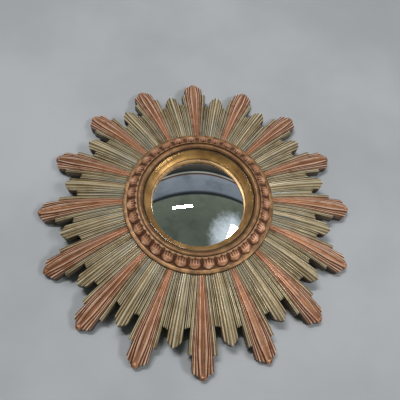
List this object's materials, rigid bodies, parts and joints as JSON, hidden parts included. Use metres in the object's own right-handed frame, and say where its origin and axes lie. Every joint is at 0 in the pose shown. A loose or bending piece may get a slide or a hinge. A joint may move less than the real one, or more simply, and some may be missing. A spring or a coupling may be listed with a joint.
{
  "type": "sunburst convex mirror",
  "caption": "Round convex wall mirror in a sunburst frame of long copper and short gold rays, with a lobed ring moulding and a gold sight ring.",
  "frame": {"origin": "middle of the back, in the plane that the ray tips touch", "axes": "+Z out of the wall along the axis of the glass, +Y towards the hanger, which is the top of the hung mirror"},
  "size_m": [0.51, 0.51, 0.073],
  "materials": {
    "gilt_resin": "cast resin with worn gold and copper paint",
    "copper_resin": "cast resin with worn copper and gold paint",
    "gold_liner": "satin gold paint",
    "silvered_glass": "polished convex glass, silvered behind",
    "felt": "felt strip",
    "hardboard": "brown hardboard",
    "brass": "dull pressed brass",
    "steel": "zinc plated steel"
  },
  "bodies": {
    "mirror": {"ray_frame": "gilt_resin", "ring_moulding": "copper_resin", "ring_screws": "steel", "sight_ring": "gold_liner", "mirror_glass": "silvered_glass", "glass_cushion": "felt", "backing_board": "hardboard", "turn_button_screws": "steel", "hanger_strap": "brass", "hanger_screws": "steel"},
    "turn_button_1": {"turn_button_1": "brass"},
    "turn_button_2": {"turn_button_2": "brass"},
    "turn_button_3": {"turn_button_3": "brass"},
    "turn_button_4": {"turn_button_4": "brass"},
    "hanger_ring": {"hanger_ring": "brass"}
  },
  "joints": [
    {"name": "turn_button_1_turn", "type": "hinge", "parent": "mirror", "child": "turn_button_1", "pos_m": [0.06852, 0.06852, 0.0403], "axis": [0, 0, 1], "range_deg": [-100, 100]},
    {"name": "turn_button_2_turn", "type": "hinge", "parent": "mirror", "child": "turn_button_2", "pos_m": [-0.06852, 0.06852, 0.0403], "axis": [0, 0, 1], "range_deg": [-100, 100]},
    {"name": "turn_button_3_turn", "type": "hinge", "parent": "mirror", "child": "turn_button_3", "pos_m": [-0.06852, -0.06852, 0.0403], "axis": [0, 0, 1], "range_deg": [-100, 100]},
    {"name": "turn_button_4_turn", "type": "hinge", "parent": "mirror", "child": "turn_button_4", "pos_m": [0.06852, -0.06852, 0.0403], "axis": [0, 0, 1], "range_deg": [-100, 100]},
    {"name": "hanger_ring_swing", "type": "hinge", "parent": "mirror", "child": "hanger_ring", "pos_m": [0, 0.19169, 0.01695], "axis": [1, 0, 0], "range_deg": [-100, 78]}
  ]
}
